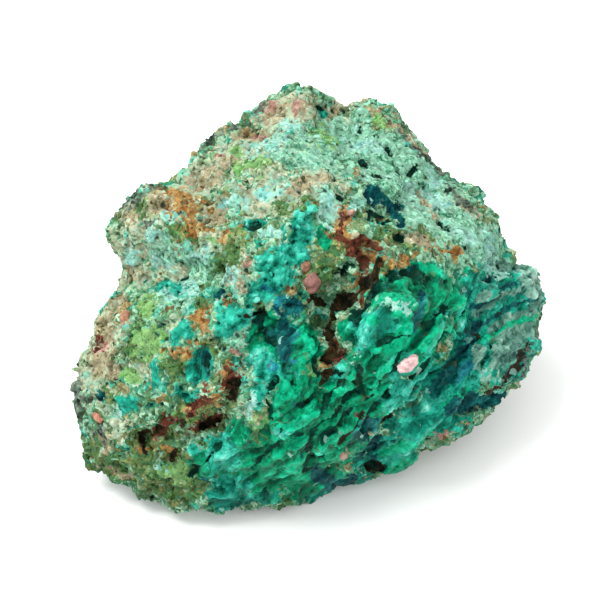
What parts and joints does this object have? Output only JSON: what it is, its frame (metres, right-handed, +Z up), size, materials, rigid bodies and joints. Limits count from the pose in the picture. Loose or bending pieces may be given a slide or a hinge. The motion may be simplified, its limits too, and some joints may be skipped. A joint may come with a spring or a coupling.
{
  "type": "chrysocolla specimen",
  "caption": "Rough lump of green and teal copper ore with a knob, a notch, crevices and layered ridges, standing on a small flat foot.",
  "frame": {"origin": "middle of the bounding box's bottom, on the flat foot", "axes": "+X along the lump's longest extent, to the right of its display face; -Y to the front; +Z up, along its shortest extent"},
  "size_m": [0.0896, 0.0726, 0.0534],
  "materials": {
    "ore": "matt and crumbly, teal, emerald, pale mint, rust and navy grains, slightly glossy in the green seams"
  },
  "bodies": {
    "root": {"stone": "ore"}
  },
  "joints": []
}
